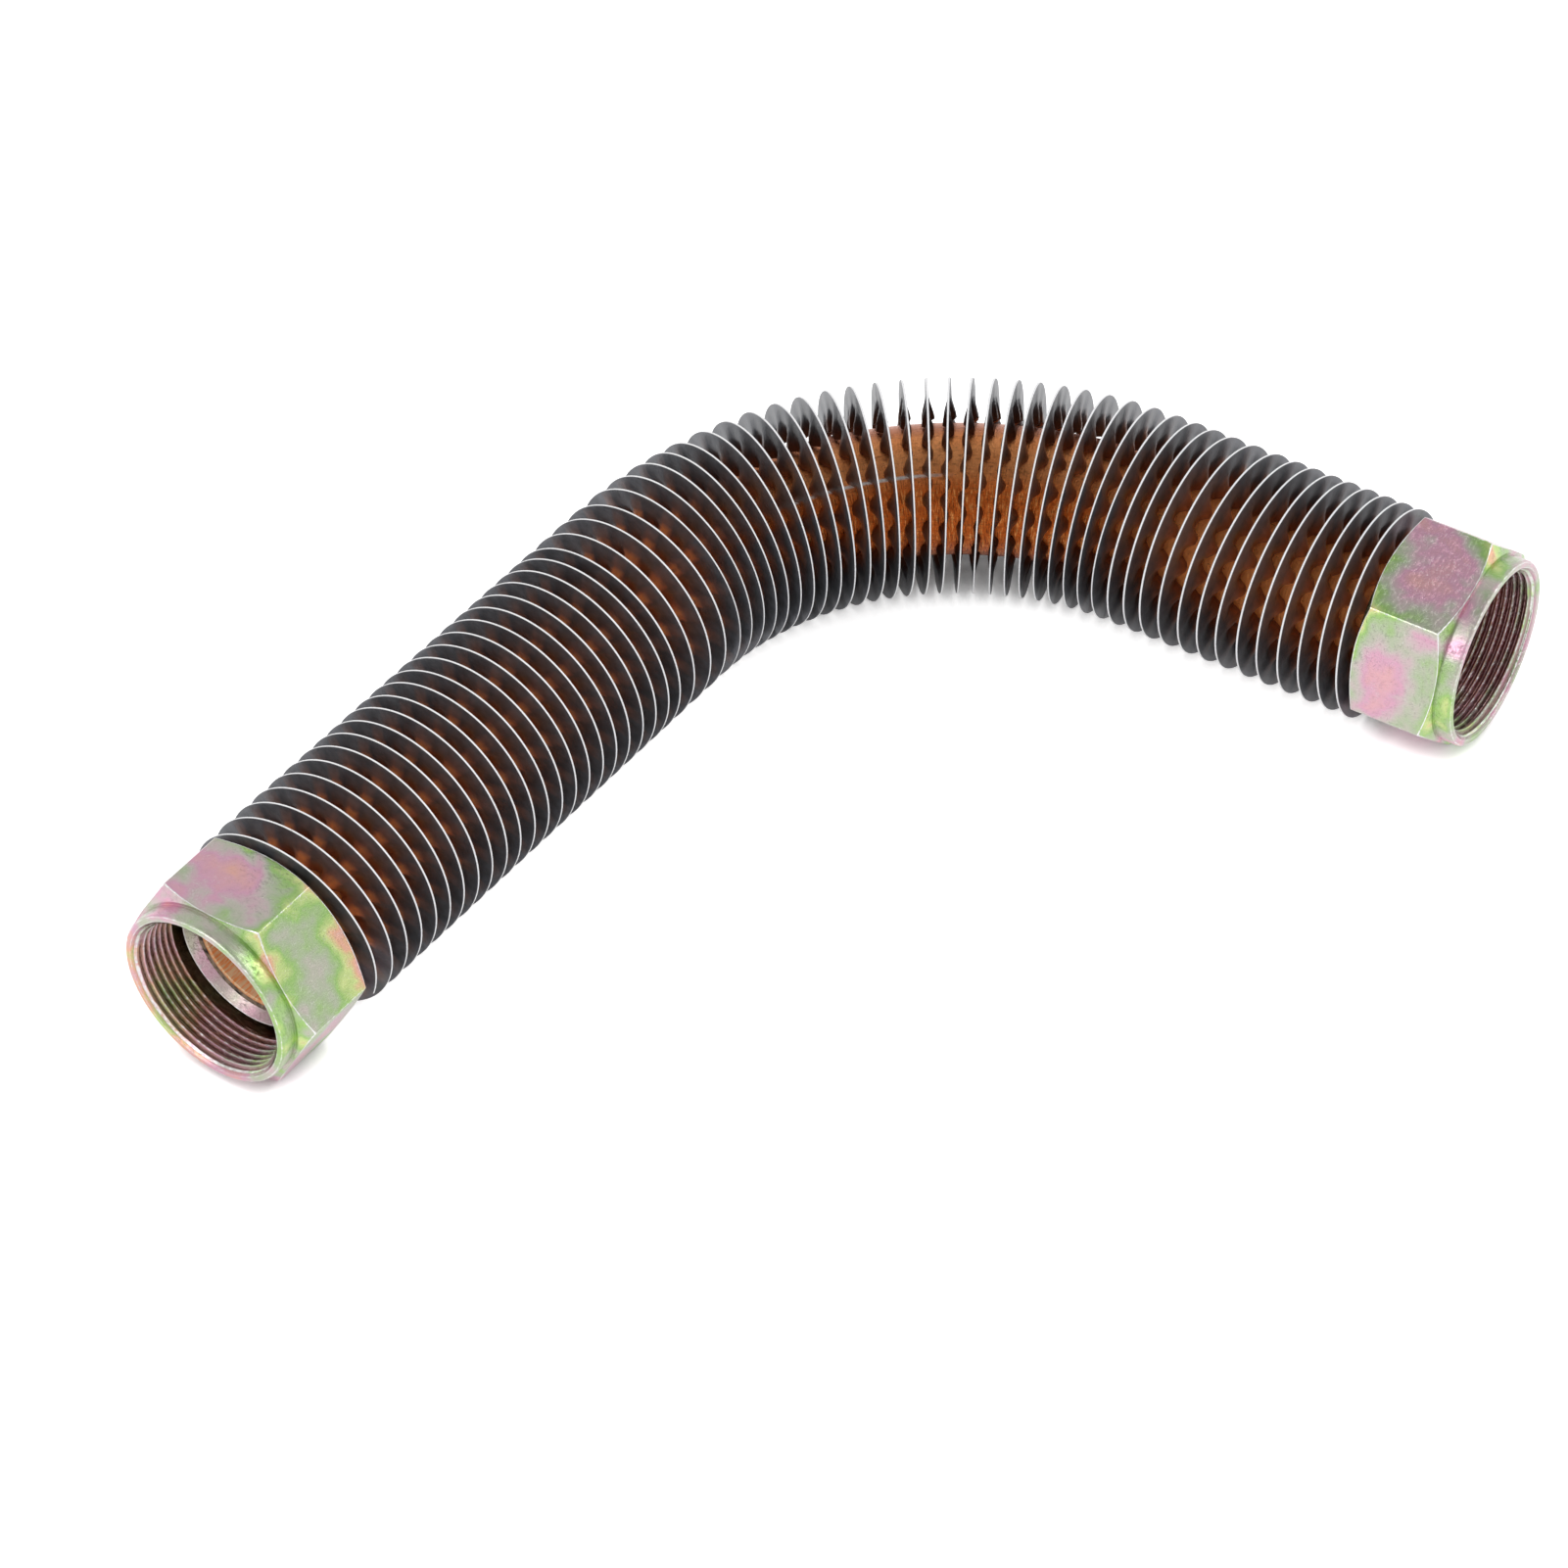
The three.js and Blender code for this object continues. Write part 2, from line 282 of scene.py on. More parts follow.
leg_steps = np.linspace(0, 1, 13)
tube_stations = np.concatenate(
    [
        TUBE_INSET + (LEFT_LEG - TUBE_INSET) * leg_steps,
        LEFT_LEG + BEND_LENGTH * np.linspace(0, 1, 61)[1:-1],
        LEFT_LEG + BEND_LENGTH + (RIGHT_LEG - TUBE_INSET) * leg_steps,
    ]
)
tube_ends = tube_stations[0], tube_stations[-1]
broken_edges = TUBE_RADIUS - TUBE_EDGE_BREAK, TUBE_BORE + TUBE_EDGE_BREAK
tube_rings = np.array(
    [(s, TUBE_RADIUS) for s in tube_stations]
    + [(tube_ends[1] + TUBE_EDGE_BREAK, r) for r in broken_edges]
    + [(s, TUBE_BORE) for s in tube_stations[::-1]]
    + [(tube_ends[0] - TUBE_EDGE_BREAK, r) for r in broken_edges[::-1]]
)
tube_sides = np.linspace(-np.pi, np.pi, 73)[None, :-1]
tube_place = tube_rings[:, 0, None], tube_rings[:, 1, None], tube_sides
copper_tube = made_piece(
    "copper_tube_fine",
    around_pipe(*tube_place, bend_sag(tube_place[0])),
    joined(len(tube_rings), tube_sides.size, True, True),
    copper,
    {
        "place": straightened(*tube_place),
        "bore": (tube_rings[:, 1, None] < TUBE_BORE + 0.2) + 0 * tube_sides,
    },
)
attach(copper_tube, "pipe")
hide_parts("copper_tube")

# Fin strip. One long ribbon of thin metal, crimped into pleats along its foot and wound on edge round
# the tube by its own tension. Its faces are dark grey and its cut rim is bright. Near the tube the faces
# are painted with dark brown shade, and the proud pleats with a painted reflection of the copper tube.
FIN_RADIUS = 20.5
FIN_HALF_THICKNESS = 0.2
PLEATS_PER_TURN = 14
PLEAT_DEPTH = 1.1
PLEAT_HEIGHT = 5.6
FOOT_LIFT = 0.6
FIN_STEPS_PER_TURN = 84
# Turns of the strip where its pitch changes, and their stations
FIN_COURSE = [
    (-0.3, 21.7), (1, 27.8), (2.5, 34.4), (4, 40.8), (8, 57.1), (12, 73.2),
    (16, 89.4), (20.5, 107.4), (22, 112.6), (24, 122.2), (26, 131.8), (28, 140.5),
    (30, 148.2), (33, 160.9), (36, 173.6), (40, 189.8), (44, 204.9), (47, 216.1),
    (50, 228.1), (52.5, 237.9), (54, 243.5), (56, 252.3), (60, 268.4), (62.5, 278.7),
    (64.2, 285),
]
# Turns, and how far they lean forward on the inside of the bend and on top
FIN_LEAN = [
    (-0.3, 1.5, -1.3), (2.5, 0.8, -0.6), (6, 0.4, 0), (12, 0.6, 0), (26, -0.4, 0),
    (30, 0.8, -0.2), (34, -0.1, 0.1), (40, -0.5, 0.3), (45, 0.5, 0.4), (51, 1.3, 0.5),
    (54, 0.1, -0.1), (57, -0.5, 0.4), (61, 0.4, -0.5), (64.2, 0.8, -1.5),
]

course_turns, course_stations = np.transpose(FIN_COURSE)
lean_turns, lean_inward, lean_upward = np.transpose(FIN_LEAN)
fin_steps = int((course_turns[-1] - course_turns[0]) * FIN_STEPS_PER_TURN)
fin_turn = np.linspace(course_turns[0], course_turns[-1], fin_steps + 1)[:, None]
fin_angle = -2 * np.pi * fin_turn
fin_station = (
    np.interp(fin_turn, course_turns, course_stations)
    + np.interp(fin_turn, lean_turns, lean_inward) * np.sin(fin_angle)
    + np.interp(fin_turn, lean_turns, lean_upward) * np.cos(fin_angle)
)

# Across the strip: up one side from foot to rim, over the cut edge, and down the other side
fin_foot = TUBE_RADIUS + 0.03 + np.maximum(bend_sag(fin_station) * np.sin(fin_angle), 0)
fin_lift = np.maximum(-bend_sag(fin_station) * np.sin(fin_angle), 0)
fin_foot = fin_foot + FOOT_LIFT * fin_lift * (1 + np.sin(2 * np.pi * PLEATS_PER_TURN * fin_turn))
side_levels = np.array([0, 0.13, 0.27, 0.41, 0.58, 0.99, 1])
fin_levels = np.concatenate([side_levels, side_levels[::-1]])[None]
fin_radii = fin_foot + (FIN_RADIUS - fin_foot) * fin_levels
side_faces = FIN_HALF_THICKNESS * np.array([1, 1, 1, 1, 1, 1.05, 0.72])
fin_sides = np.concatenate([side_faces, -side_faces[::-1]])[None]

chance = np.random.default_rng(7)


def chance_waves(spread, count):
    """A smooth random wander along the strip, of about one, that swings over spread turns."""
    wander = 0
    for _ in range(count):
        height = chance.normal()
        swings_per_turn = chance.uniform(0.4, 1) / spread
        start = chance.uniform(0, 6.3)
        wander = wander + height * np.sin(2 * np.pi * fin_turn * swings_per_turn + start)
    return wander / count ** 0.5


# Pleats are deepest at the foot and fade out towards the rim. None is quite like the next
fin_above = fin_radii - TUBE_RADIUS
fold_share = np.cos(np.pi / 2 * np.clip(fin_above / PLEAT_HEIGHT, 0, 1)) ** 2
fold_phase = 2 * np.pi * PLEATS_PER_TURN * fin_turn + 0.35 * chance_waves(3, 8)
fold = (np.sin(fold_phase) + 0.14 * np.sin(3 * fold_phase)) * (1 + 0.12 * chance_waves(0.3, 12))
fin_offset = PLEAT_DEPTH * fold * fold_share + fin_sides + 0.07 * chance_waves(2, 8)
fin_place = fin_station + fin_offset, fin_radii, fin_angle

# The proud pleats carry a painted reflection of the copper tube, more in the left leg than in the right one
past_middle = fin_station - BEND_MIDDLE
fin_glow_reach = np.clip(np.abs(past_middle) / 25 - 0.9, 0, 1) * np.where(past_middle > 0, 0.35, 1)
fin_proud = np.clip(1.25 * fold * np.sign(fin_sides), 0, 1) ** 2
fin_copper_glow = fin_glow_reach * fin_proud * np.clip(fin_above / 1.2, 0, 1) * np.clip((5.0 - fin_above) / 1.8, 0, 1)

fin = Finish("fin_strip")
fin_where = fin.mark("place", 1)
fin_off_axis = fin.stretched(fin_where, (0, 1, 1))
fin_across = fin.node("ShaderNodeVectorMath", {"operation": "LENGTH"}, {0: fin_off_axis}, 1)
fin_edge = fin_across.rise(FIN_RADIUS - 0.07, FIN_RADIUS - 0.02)
fin_specks = fin.noise(fin_where, 3.2, 4, 0.7).rise(0.6, 0.72)
fin_cloud = fin.noise(fin_where, 0.5, 3)
# Near the foot the faces are painted dark brown: painted shade between the pleats, with a painted copper
# glow
fin_clear_of_foot_shade = fin_across.rise(TUBE_RADIUS + 1, TUBE_RADIUS + 4.3)
fin_skin = fin.mixed(fin_cloud.rise(0.3, 0.75), (0.13, 0.134, 0.148), (0.18, 0.186, 0.208))
fin_skin = fin.mixed(fin_clear_of_foot_shade, (0.25, 0.11, 0.065), fin_skin)
# Painted reflection of the copper tube on the proud pleats
fin_glow = fin.mark("crest") * fin_cloud.rise(0, 0.5)
fin_skin = fin.mixed(fin_glow, fin_skin, (1.0, 0.36, 0.12))
fin_skin = fin.mixed(fin_edge, fin_skin, (0.97, 0.97, 0.98))
fin_skin = fin.mixed(0.75 * fin_specks * fin_edge, fin_skin, (0.3, 0.28, 0.27))
fin.wear(
    Base_Color=fin_skin,
    Metallic=0.6 - 0.5 * fin_edge - 0.5 * fin_glow,
    Roughness=0.24 + 0.16 * fin_cloud + 0.25 * fin_edge,
)
fin.relief(fin.noise(fin_where, 2.2, 3, 0.6), 0.00004)

fin_faces = joined(*fin_radii.shape, False, True)
fin_marks = {"place": straightened(*fin_place), "crest": fin_copper_glow}
fin_strip = made_piece("fin_strip_fine", around_pipe(*fin_place), fin_faces, fin, fin_marks)
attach(fin_strip, "pipe")
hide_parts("fin_strip")

# Union nuts. Each is turned and milled from hexagon steel bar, 38 mm across flats, with a round
# collar and an inner thread of 33 mm by 1.5 mm, then zinc-plated and passivated to a thin iridescent film.
FLAT_RADIUS = 19
NUT_LENGTH = 20.5
COLLAR_LENGTH = 3.5
COLLAR_RADIUS = 18.35
MOUTH_RADIUS = 17.1
THREAD_RADIUS = 15.7
THREAD_PITCH = 1.5
THREAD_DEPTH = 0.85
THREAD_START = -1.2
THREAD_END = 9.8
THREAD_RUN_OUT = 0.4
RELIEF_RADIUS = 16.6
SHOULDER_DEPTH = 15.7
NUT_HOLE_RADIUS = 14.7
HEX_CHAMFER = math.tan(math.radians(28))
HALF_FLAT = 11
CORNER_WEAR = 0.24
CORNER_BLUNT = 0.08
LEFT_NUT_TURN = math.radians(-32.4)
RIGHT_NUT_TURN = math.radians(15.7)


def nut_angles():
    """Angles round the nut, from a corner, set close where its corners are rounded."""
    corner = np.radians([-0.8, -0.36, 0, 0.36, 0.8])
    flat = np.radians(np.linspace(0.8, 59.2, 24)[1:-1])
    sector = np.concatenate([corner, flat])
    return np.concatenate([sector + k * np.pi / 3 for k in range(6)])


def hexagon(angle):
    """Radius of the hexagon, with a small round on each corner, and the place across its flat."""
    across = np.mod(angle, np.pi / 3) - np.pi / 6
    radius = FLAT_RADIUS / np.cos(across)
    blunt = FLAT_RADIUS / np.cos(np.pi / 6) - CORNER_BLUNT
    return np.minimum(radius, blunt), across / (np.pi / 6)


def nut_body():
    """Points of the nut from its mouth over the outside to the relief in its bore, and their marks: how
    worn, how near an edge of their face, and how much painted shade they get for how deep inside they are."""
    angle = nut_angles()
    hexagon_radius, across = hexagon(angle)
    rise = np.maximum(hexagon_radius - FLAT_RADIUS, 0.02)
    front = COLLAR_LENGTH + rise * HEX_CHAMFER
    back = NUT_LENGTH - rise * HEX_CHAMFER
    from_corner = (1 - np.abs(across)) * HALF_FLAT
    corner_line = 0.4 * np.exp(-((from_corner / CORNER_WEAR) ** 2))
    zeros = 0 * angle
    rows = []

    def ring(along, radius, worn=0.0, edgeward=0.4, inner=0.0, cornered=False):
        if cornered:
            worn, edgeward = np.maximum(worn, corner_line), np.maximum(edgeward, across * across)
        rows.append([zeros + values for values in (along, radius, worn, edgeward, inner)])

    ring(0.52, RELIEF_RADIUS - 0.02, inner=0.5)
    ring(0.0, MOUTH_RADIUS - 0.05, 0.3, 0.8)
    ring(0.0, MOUTH_RADIUS + 0.05, 0.4, 0.8)
    ring(0.0, MOUTH_RADIUS + 0.2, edgeward=0.8)
    ring(0.0, COLLAR_RADIUS - 0.6, edgeward=0.8)
    ring(0.0, COLLAR_RADIUS - 0.5, 0.2, 0.8)
    ring(0.07, COLLAR_RADIUS - 0.25, 0.42, 0.8)
    ring(0.25, COLLAR_RADIUS - 0.07, 0.2, 0.8)
    ring(0.5, COLLAR_RADIUS, edgeward=0.8)
    ring(0.9, COLLAR_RADIUS, edgeward=1)
    for share in (0.35, 0.6, 0.85):
        ring(COLLAR_LENGTH * share, COLLAR_RADIUS, edgeward=1)
    ring(COLLAR_LENGTH - 0.02, COLLAR_RADIUS, edgeward=0.8)
    ring(COLLAR_LENGTH, COLLAR_RADIUS + 0.03, edgeward=1.2)
    ring(COLLAR_LENGTH, FLAT_RADIUS - 0.25, edgeward=1.2)
    ring(COLLAR_LENGTH, FLAT_RADIUS - 0.04, 0.25, 1.2)
    ring(COLLAR_LENGTH + 0.02 * HEX_CHAMFER, FLAT_RADIUS + 0.01, 0.25, 1.2)
    for share, worn in ((0.35, 0), (0.8, 0.1)):
        ring(COLLAR_LENGTH + share * (front - COLLAR_LENGTH), FLAT_RADIUS + share * rise, worn, 1.3)
    ring(front - 0.05, FLAT_RADIUS + 0.96 * rise, 0.52, 1.2)
    ring(front + 0.07, hexagon_radius - 0.004, 0.52, 1)
    ring(front + 0.2, hexagon_radius, 0.05, 0.9, cornered=True)
    ring(front + 0.8, hexagon_radius, 0, 0.75, cornered=True)
    for share in np.linspace(0.12, 0.88, 8):
        ring(front + share * (back - front), hexagon_radius, 0, (2 * share - 1) ** 2, cornered=True)
    ring(back - 0.8, hexagon_radius, 0, 0.8, cornered=True)
    ring(back - 0.2, hexagon_radius, 0.05, 1, cornered=True)
    ring(back - 0.07, hexagon_radius - 0.004, 0.52, 1.1)
    ring(back + 0.05, FLAT_RADIUS + 0.96 * rise, 0.52, 1.1)
    for share, worn in ((0.8, 0.15), (0.35, 0)):
        ring(NUT_LENGTH - share * (NUT_LENGTH - back), FLAT_RADIUS + share * rise, worn, 1.1)
    ring(NUT_LENGTH - 0.02 * HEX_CHAMFER, FLAT_RADIUS + 0.01, 0.3)
    ring(NUT_LENGTH, FLAT_RADIUS - 0.04, 0.3)
    ring(NUT_LENGTH, FLAT_RADIUS - 0.3)
    ring(NUT_LENGTH, 17)
    ring(NUT_LENGTH, NUT_HOLE_RADIUS + 0.7)
    ring(NUT_LENGTH, NUT_HOLE_RADIUS + 0.45, 0.5)
    ring(NUT_LENGTH - 0.4, NUT_HOLE_RADIUS, 0.3)
    ring(NUT_LENGTH - 0.8, NUT_HOLE_RADIUS, inner=1)
    ring(SHOULDER_DEPTH + 0.1, NUT_HOLE_RADIUS, inner=1)
    ring(SHOULDER_DEPTH, NUT_HOLE_RADIUS + 0.1, inner=1)
    ring(SHOULDER_DEPTH, RELIEF_RADIUS - 0.2, inner=1)
    ring(SHOULDER_DEPTH - 0.2, RELIEF_RADIUS, inner=1)
    for along in (13, 11, 9, 5, 1):
        ring(along, RELIEF_RADIUS, inner=1)
    along, radius, worn, edgeward, inner = (np.array(values) for values in zip(*rows))
    turn = angle[None] + 0 * along
    points = np.stack([along, -radius * np.sin(turn), radius * np.cos(turn)], axis=-1)
    return points, {"worn": worn, "edgeward": edgeward, "inner": inner}


def nut_thread():
    """Points of the thread, a helical sleeve that runs out into the mouth's chamfer and the relief, and
    how deep in its groove each is."""
    sides, steps = 96, 12
    turns = (THREAD_END - THREAD_START + THREAD_RUN_OUT) / THREAD_PITCH
    crest_share, flank_share = 0.14, 0.74
    angle = 2 * np.pi * np.arange(int(turns * sides) + 1)[:, None] / sides
    phase = np.arange(steps + 1)[None] / steps
    along = THREAD_START + THREAD_PITCH * (angle / (2 * np.pi) + phase)
    groove = np.clip((np.abs(2 * phase - 1) - crest_share) / flank_share, 0, 1)
    radius = THREAD_RADIUS + THREAD_DEPTH * groove + 0 * angle
    radius = np.maximum(radius, MOUTH_RADIUS - np.maximum(along, -0.2))
    radius = np.maximum(radius, THREAD_RADIUS + (along - THREAD_END))
    radius = np.minimum(radius, RELIEF_RADIUS + 0.03)
    along = np.clip(along, 0.45, None)
    depth = np.clip((radius - THREAD_RADIUS) / 0.5, 0, 1)
    return np.stack([along, -radius * np.sin(angle), radius * np.cos(angle)], axis=-1), depth


def zinc_finish(name, seed, film_start, film_drift=0.0):
    """Zinc plate under a thin passivated film, whose colour runs from pink to green with its thickness."""
    zinc = Finish(name)
    own = zinc.mark("place", 1)
    place = zinc.node("ShaderNodeVectorMath", {"operation": "ADD"}, {0: own, 1: (seed, 2 * seed, -seed)})
    edgeward = zinc.mark("edgeward")
    inner = zinc.mark("inner")
    worn = zinc.mark("worn")
    cloud = zinc.noise(place, 0.11, 2, 0.5)
    patches = zinc.noise(place, 0.24, 2, 0.5, 0.6)
    grain = zinc.noise(place, 4, 4, 0.7)
    brushed = zinc.noise(zinc.stretched(place, (0.25, 1, 1)), 3.5, 3, 0.6)
    nicks = zinc.noise(zinc.stretched(place, (1.4, 0.5, 1)), 1.3, 4, 0.75)
    curls = zinc.noise(place, 0.75, 3, 0.7, 1.5)
    scratched = 1 - curls.away_from(0.5).rise(0.002, 0.009)
    scratched = scratched * patches.rise(0.42, 0.6) * nicks.rise(0.4, 0.55)
    # The film is thicker towards edges and drifts across the nut. Past its last colour it starts again
    film = film_start + 0.6 * (cloud - 0.5) + 0.3 * (patches - 0.5)
    film = film + edgeward * (0.3 + 0.9 * (cloud - 0.5)) - film_drift * zinc.split(own, 1)
    film = film.math("FRACT", film)
    colour = zinc.node(
        "ShaderNodeValToRGB",
        {
            "stops": [
                (0.0, (0.80, 0.45, 0.30)),
                (0.14, (0.75, 0.42, 0.42)),
                (0.32, (0.68, 0.38, 0.50)),
                (0.46, (0.57, 0.50, 0.47)),
                (0.58, (0.45, 0.51, 0.36)),
                (0.72, (0.33, 0.54, 0.17)),
                (0.86, (0.60, 0.70, 0.28)),
                (1.0, (0.80, 0.45, 0.30)),
            ]
        },
        {0: film},
    )
    # Bare metal where edges are worn; on the thread's crests it is also a painted highlight
    bare_and_glint = (worn + 0.9 * nicks - 0.45).rise(0.25, 0.55)
    colour = zinc.mixed(0.15 * grain.rise(0.45, 0.7), colour, (0.62, 0.60, 0.58))
    # Painted shade deep inside the nut, in the thread's grooves and on the ferrule's seat
    colour = zinc.mixed(0.8 * inner, colour, (0.20, 0.11, 0.09))
    colour = zinc.mixed(0.7 * scratched, colour, (0.9, 0.88, 0.86))
    colour = zinc.mixed(bare_and_glint, colour, (0.88, 0.88, 0.87))
    zinc.wear(Base_Color=colour, Metallic=1.0, Roughness=0.13 + 0.14 * grain + 0.06 * brushed)
    zinc.relief(grain + 0.8 * brushed + 1.2 * nicks.rise(0.5, 0.75), 0.00004)
    return zinc


zinc_left = zinc_finish("zinc_left", 11.3, 0.1, 0.022)
zinc_right = zinc_finish("zinc_right", 47.7, 0.22, -0.003)


def union_nut(side, joint, turn, finish):
    """The nut where its joint is, turned about its own axis as it happens to lie."""
    body, body_marks = nut_body()
    thread, thread_depth = nut_thread()
    points = np.concatenate([body.reshape(-1, 3), thread.reshape(-1, 3)])
    faces = np.concatenate(
        [
            joined(*body.shape[:2], ring_columns=True),
            joined(*thread.shape[:2])[:, ::-1] + body.shape[0] * body.shape[1],
        ]
    )
    thread_deep = thread_depth * (thread[..., 0] > 0.9)
    # The thread's crests get painted highlights with their wear, and its grooves painted shade
    thread_marks = {
        "worn": 0.42 * (1 - thread_deep),
        "edgeward": 1.2 - 0.6 * thread_deep,
        "inner": thread_deep,
    }
    marks = {"place": points}
    for name, values in body_marks.items():
        marks[name] = np.concatenate([values.ravel(), thread_marks[name].ravel()])
    pose = (
        Matrix.Translation(joint["pos_m"])
        @ Matrix.Rotation(math.atan2(joint["axis"][1], joint["axis"][0]), 4, "Z")
        @ Matrix.Rotation(turn, 4, "X")
    )
    nut = made_piece(f"{side}_union_nut_fine", points * MM, faces, finish, marks, 25)
    nut.data.transform(pose)
    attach(nut, f"{side}_nut")
    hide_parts(f"{side}_union_nut")


union_nut("left", left_joint, LEFT_NUT_TURN, zinc_left)
union_nut("right", right_joint, RIGHT_NUT_TURN, zinc_right)

# Ferrules. Each is a turned steel ring that the nut pulls on, with a conical seat for the mating
# nose and a flange behind it. It is pushed over the tube's end, brazed on, and plated as the nuts are.
SEAT_DEPTH = 11.2
SEAT_RADIUS = 14.4
FERRULE_BORE = 12.8
SEAT_END = SEAT_DEPTH + (SEAT_RADIUS - FERRULE_BORE) / math.tan(math.radians(42))
LIP_RADIUS = 14.7
FLANGE_RADIUS = 15.5
FLANGE_FRONT = SEAT_DEPTH + 1.5
FLANGE_BACK = SHOULDER_DEPTH - 0.3
HUB_RADIUS = 13.7
HUB_END = FLANGE_BACK + 3
RING_SIDES = 128


def turned_ring(name, joint, profile, finish, worn=None):
    """A ring of [distance from the nut's rim, radius] points, turned about the leg's own centre."""
    profile = np.array(profile, float)
    angle = np.linspace(0, 2 * np.pi, RING_SIDES + 1)[None, :-1]
    along, radius = profile[:, 0, None] + 0 * angle, profile[:, 1, None] + 0 * angle
    points = np.stack([along, -radius * np.sin(angle), radius * np.cos(angle)], axis=-1)
    worn = np.zeros(len(profile)) if worn is None else np.array(worn, float)
    marks = {
        "place": points.reshape(-1, 3),
        "worn": worn[:, None] + 0 * angle,
        "edgeward": 0 * along,
        # Rings inside the nut get some painted shade
        "inner": 0 * along + 0.4,
    }
    piece = made_piece(name, points * MM, joined(len(profile), RING_SIDES, True, True), finish, marks, 30)
    centre = Vector((*joint["pos_m"][:2], AXIS_HEIGHT * MM))
    yaw = math.atan2(joint["axis"][1], joint["axis"][0])
    piece.data.transform(Matrix.Translation(centre) @ Matrix.Rotation(yaw, 4, "Z"))
    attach(piece, "pipe")
    return piece


zinc_seat = zinc_finish("zinc_seat", 83.1, 0.4)
seat_profile = [
    (SEAT_END, FERRULE_BORE),
    (SEAT_DEPTH + 0.08, SEAT_RADIUS - 0.08),
    (SEAT_DEPTH, SEAT_RADIUS + 0.03),
    (SEAT_DEPTH, LIP_RADIUS - 0.1),
    (SEAT_DEPTH + 0.1, LIP_RADIUS),
    (FLANGE_FRONT - (FLANGE_RADIUS - LIP_RADIUS), LIP_RADIUS),
    (FLANGE_FRONT, FLANGE_RADIUS),
    (FLANGE_BACK, FLANGE_RADIUS),
    (FLANGE_BACK, HUB_RADIUS),
    (HUB_END, HUB_RADIUS),
    (HUB_END, FERRULE_BORE),
]
seat_worn = [0, 0.3, 0.6, 0.3, 0, 0, 0, 0, 0, 0, 0]
for side, joint in (("left", left_joint), ("right", right_joint)):
    ferrule = turned_ring(f"{side}_ferrule_fine", joint, seat_profile, zinc_seat, seat_worn)
    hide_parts(f"{side}_ferrule")

# Brazing. Filler metal drawn in between ferrule and tube leaves a fillet behind the hub and a thin,
# dark, uneven line where the seat's cone meets the bore. It stays as it froze, scaled by flux.
braze = Finish("braze")
braze_place = braze.mark("place", 1)
braze_lumps = braze.noise(braze_place, 0.9, 4, 0.6)
braze.wear(
    Base_Color=braze.mixed(braze_lumps.rise(0.35, 0.65), (0.05, 0.04, 0.035), (0.40, 0.30, 0.22)),
    Metallic=0.7,
    Roughness=0.45 + 0.3 * braze_lumps,
)
braze.relief(braze_lumps, 0.0002)
for side, joint in (("left", left_joint), ("right", right_joint)):
    fillet_start = HUB_END + 0.02
    fillet = turned_ring(
        f"{side}_braze_fillet",
        joint,
        [
            (fillet_start, FERRULE_BORE - 0.25),
            (fillet_start, HUB_RADIUS - 0.05),
            (fillet_start + 0.35, HUB_RADIUS - 0.4),
            (fillet_start + 0.8, FERRULE_BORE + 0.15),
            (fillet_start + 1.55, TUBE_RADIUS + 0.1),
            (fillet_start + 1.6, TUBE_RADIUS + 0.02),
        ],
        braze,
    )
    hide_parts(f"{side}_braze_ring")
    bead = turned_ring(
        f"{side}_braze_line",
        joint,
        [
            (SEAT_END - 0.12, FERRULE_BORE + 0.05),
            (SEAT_END - 0.05, FERRULE_BORE - 0.3),
            (SEAT_END + 0.1, TUBE_RADIUS - 0.45),
            (SEAT_END + 0.32, TUBE_RADIUS - 0.6),
            (SEAT_END + 0.32, FERRULE_BORE),
        ],
        braze,
    )

# Studio. A white floor carries the pipe in a white room whose ceiling is darker, for the metal to
# mirror. Two soft lamps stand above the pipe, to its left and to its right.
floor = Finish("floor")
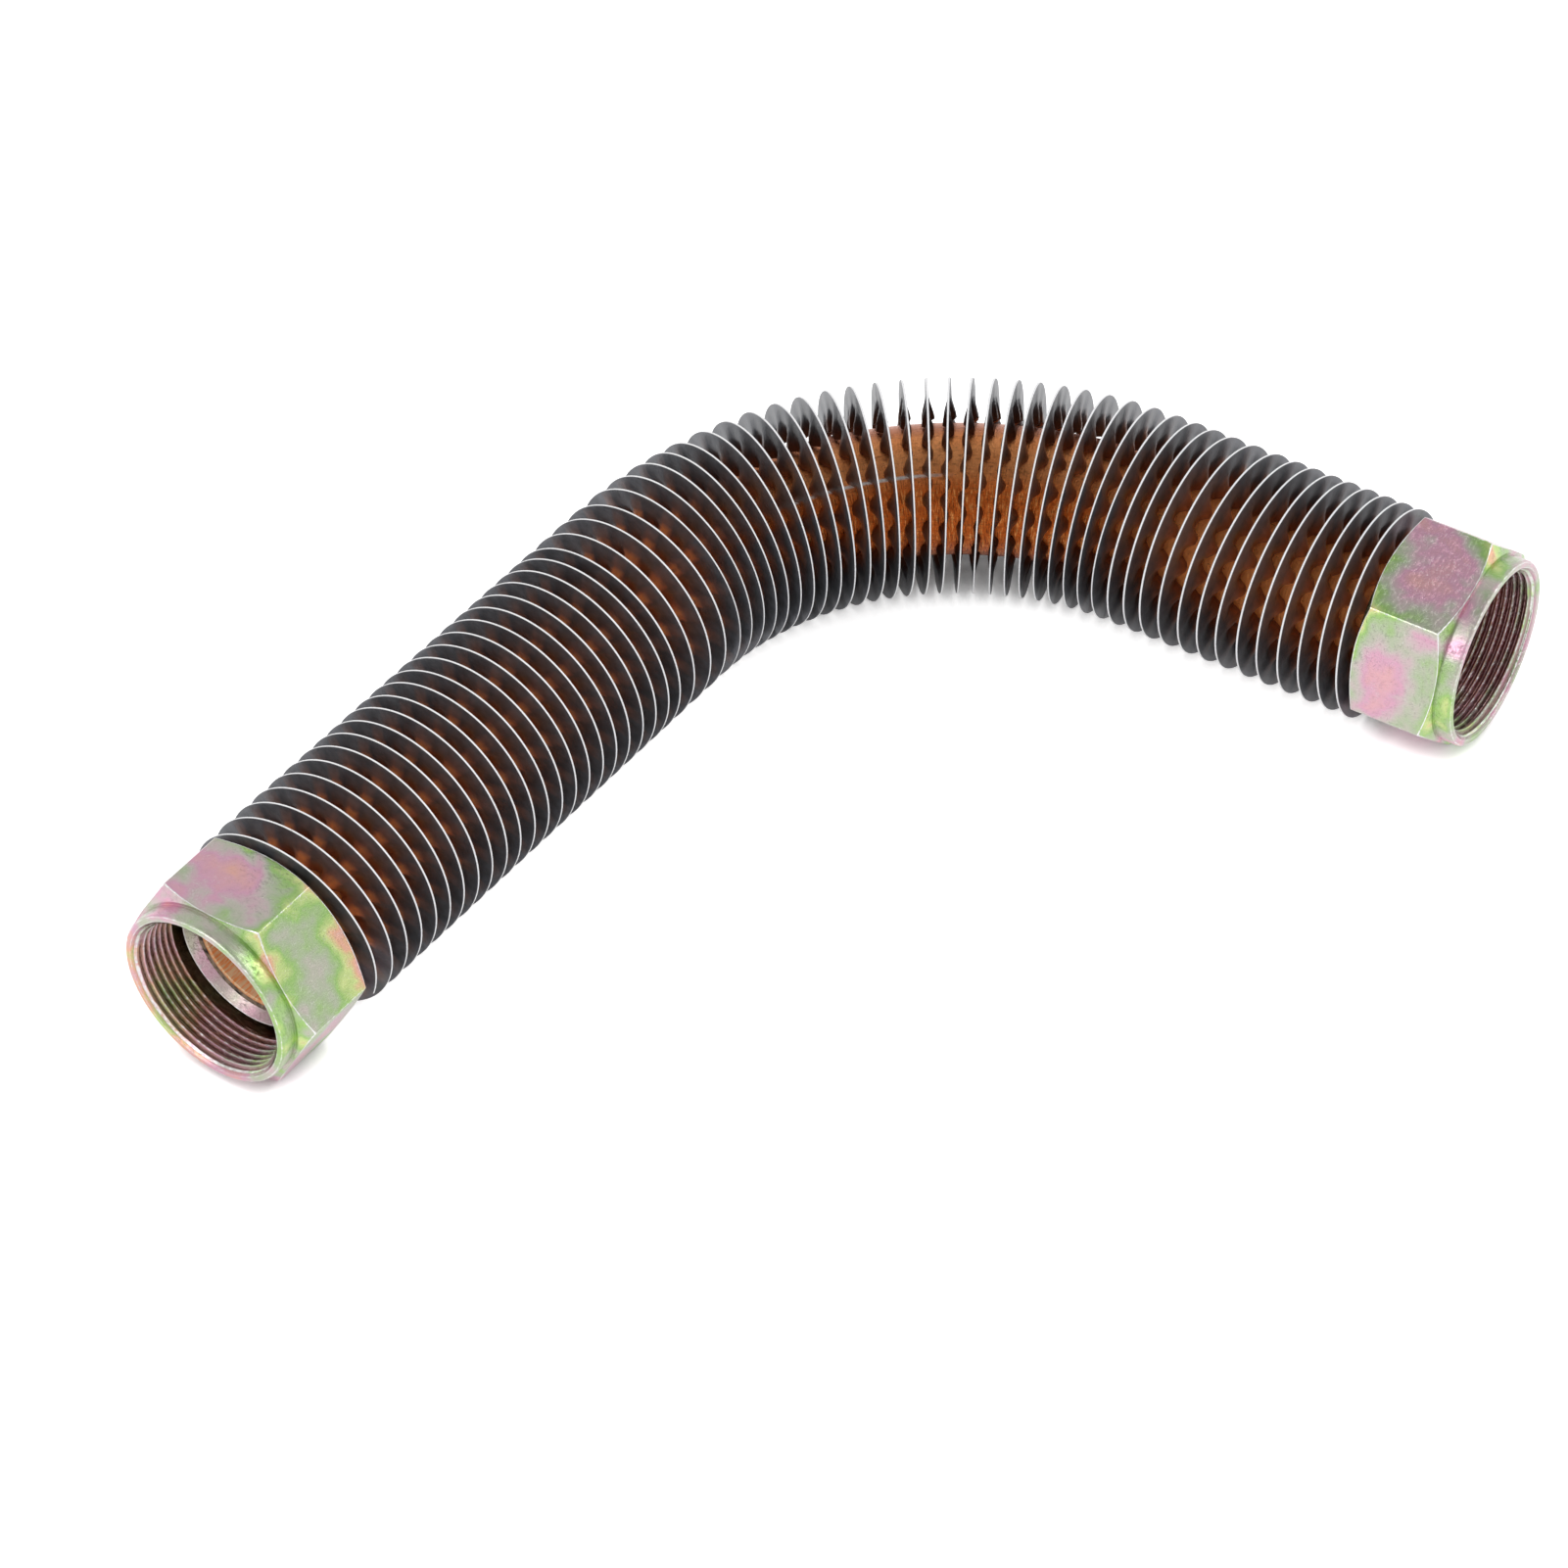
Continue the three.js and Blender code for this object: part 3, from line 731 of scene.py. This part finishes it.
# The floor glows for the camera and, half as much, in what mirrors it, but not close under the pipe
floor_direct = floor.node("ShaderNodeLightPath", {}, {}, 0)
floor_mirrored = floor.node("ShaderNodeLightPath", {}, {}, 3)
floor_seen = floor_direct + 0.5 * floor_mirrored
floor_open = floor.node("ShaderNodeAmbientOcclusion", {"samples": 8}, {"Distance": 0.008}, 1)
floor.wear(
    Base_Color=(0.9, 0.9, 0.9, 1),
    Roughness=1.0,
    Specular_IOR_Level=0.0,
    Emission_Color=floor.mixed(floor_seen * floor_open.rise(0.25, 0.6), (0, 0, 0), (1, 1, 1)),
    Emission_Strength=0.8,
)
ground = made_piece(
    "ground",
    np.array([(-3, -3, 0), (3, -3, 0), (3, 3, 0), (-3, 3, 0)], float),
    np.array([(0, 1, 2, 3)]),
    floor,
    {},
)


def softbox(name, place, size, energy):
    """A square lamp that faces the pipe."""
    lamp = bpy.data.objects.new(name, bpy.data.lights.new(name, "AREA"))
    bpy.context.scene.collection.objects.link(lamp)
    lamp.data.shape = "SQUARE"
    lamp.data.size = size
    lamp.data.energy = energy
    lamp.location = place
    lamp.rotation_euler = (-lamp.location).to_track_quat("-Z", "Y").to_euler()


softbox("right_softbox", Vector((0.62, -0.66, 0.87)), 0.5, 2.5)
softbox("left_softbox", Vector((-1.0, 0.3, 0.86)), 0.5, 2.5)

world = bpy.data.worlds.new("room")
bpy.context.scene.world = world
world.use_nodes = True
room = world.node_tree
room_way = room.nodes.new("ShaderNodeTexCoord")
room_height = room.nodes.new("ShaderNodeSeparateXYZ")
room_light = room.nodes.new("ShaderNodeMapRange")
room.links.new(room_way.outputs["Generated"], room_height.inputs[0])
room.links.new(room_height.outputs["Z"], room_light.inputs["Value"])
room.links.new(room_light.outputs[0], room.nodes["Background"].inputs["Strength"])
room_light.interpolation_type = "SMOOTHSTEP"
room_light.inputs["From Min"].default_value = 0.7
room_light.inputs["From Max"].default_value = 0.95
room_light.inputs["To Min"].default_value = 0.85
room_light.inputs["To Max"].default_value = 0.52
room.nodes["Background"].inputs["Color"].default_value = (1, 1, 1, 1)

scene = bpy.context.scene
scene.view_settings.view_transform = "Standard"

bpy.context.view_layer.update()
